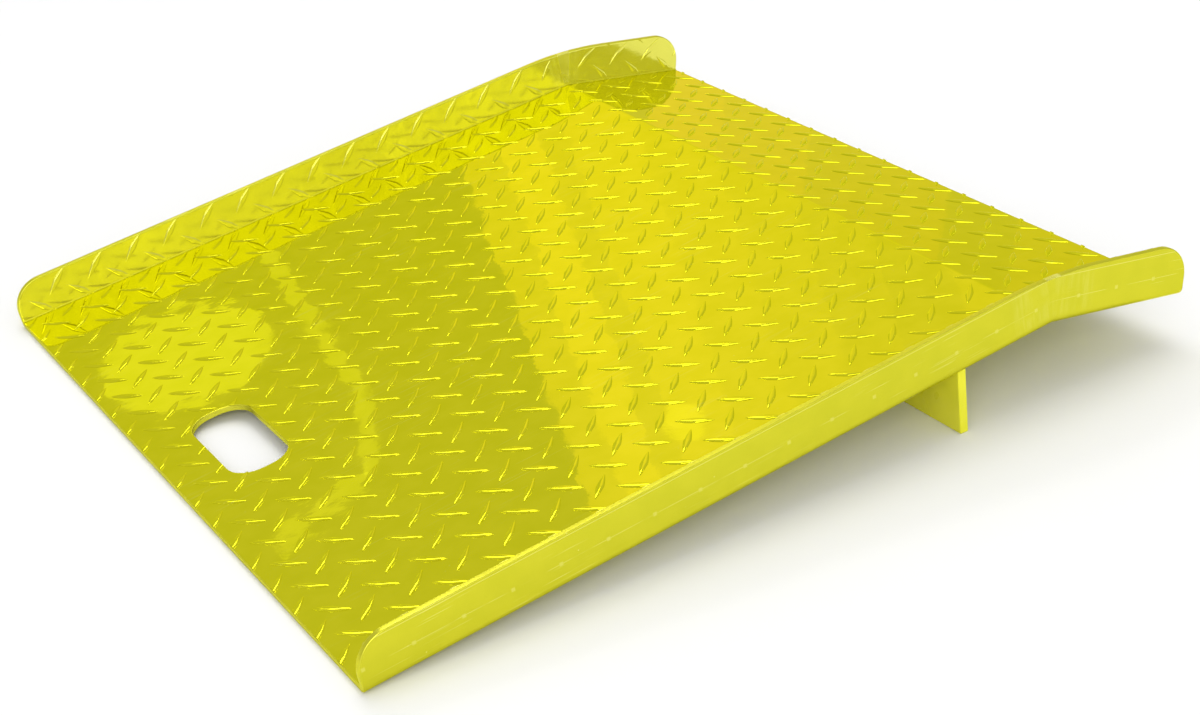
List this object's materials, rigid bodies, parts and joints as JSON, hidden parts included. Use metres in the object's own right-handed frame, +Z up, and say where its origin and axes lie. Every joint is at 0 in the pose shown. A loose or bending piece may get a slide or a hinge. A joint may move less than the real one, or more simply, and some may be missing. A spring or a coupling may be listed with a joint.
{
  "type": "curb ramp",
  "caption": "Portable curb ramp: one tread plate with bent-up side curbs, a bent-down lip at the high end, a hand hole near the low edge and welded legs underneath.",
  "frame": {"origin": "middle of the ramp's bounding box, on the floor it stands on", "axes": "+Z up, +X up the slope from the low edge to the lip, +Y to the left when walking up the ramp"},
  "size_m": [0.9008, 0.9144, 0.1256],
  "materials": {
    "plate_paint": "glossy yellow paint",
    "splice_paint": "glossy yellow paint over ground weld",
    "leg_paint": "glossy yellow paint",
    "weld_paint": "glossy yellow paint over weld beads"
  },
  "bodies": {
    "root": {"tread_plate": "plate_paint", "curb_splice_left": "splice_paint", "curb_splice_right": "splice_paint", "leg_left": "leg_paint", "leg_right": "leg_paint", "leg_front_weld_left": "weld_paint", "leg_front_weld_right": "weld_paint", "leg_rear_weld_left": "weld_paint", "leg_rear_weld_right": "weld_paint"}
  },
  "joints": []
}
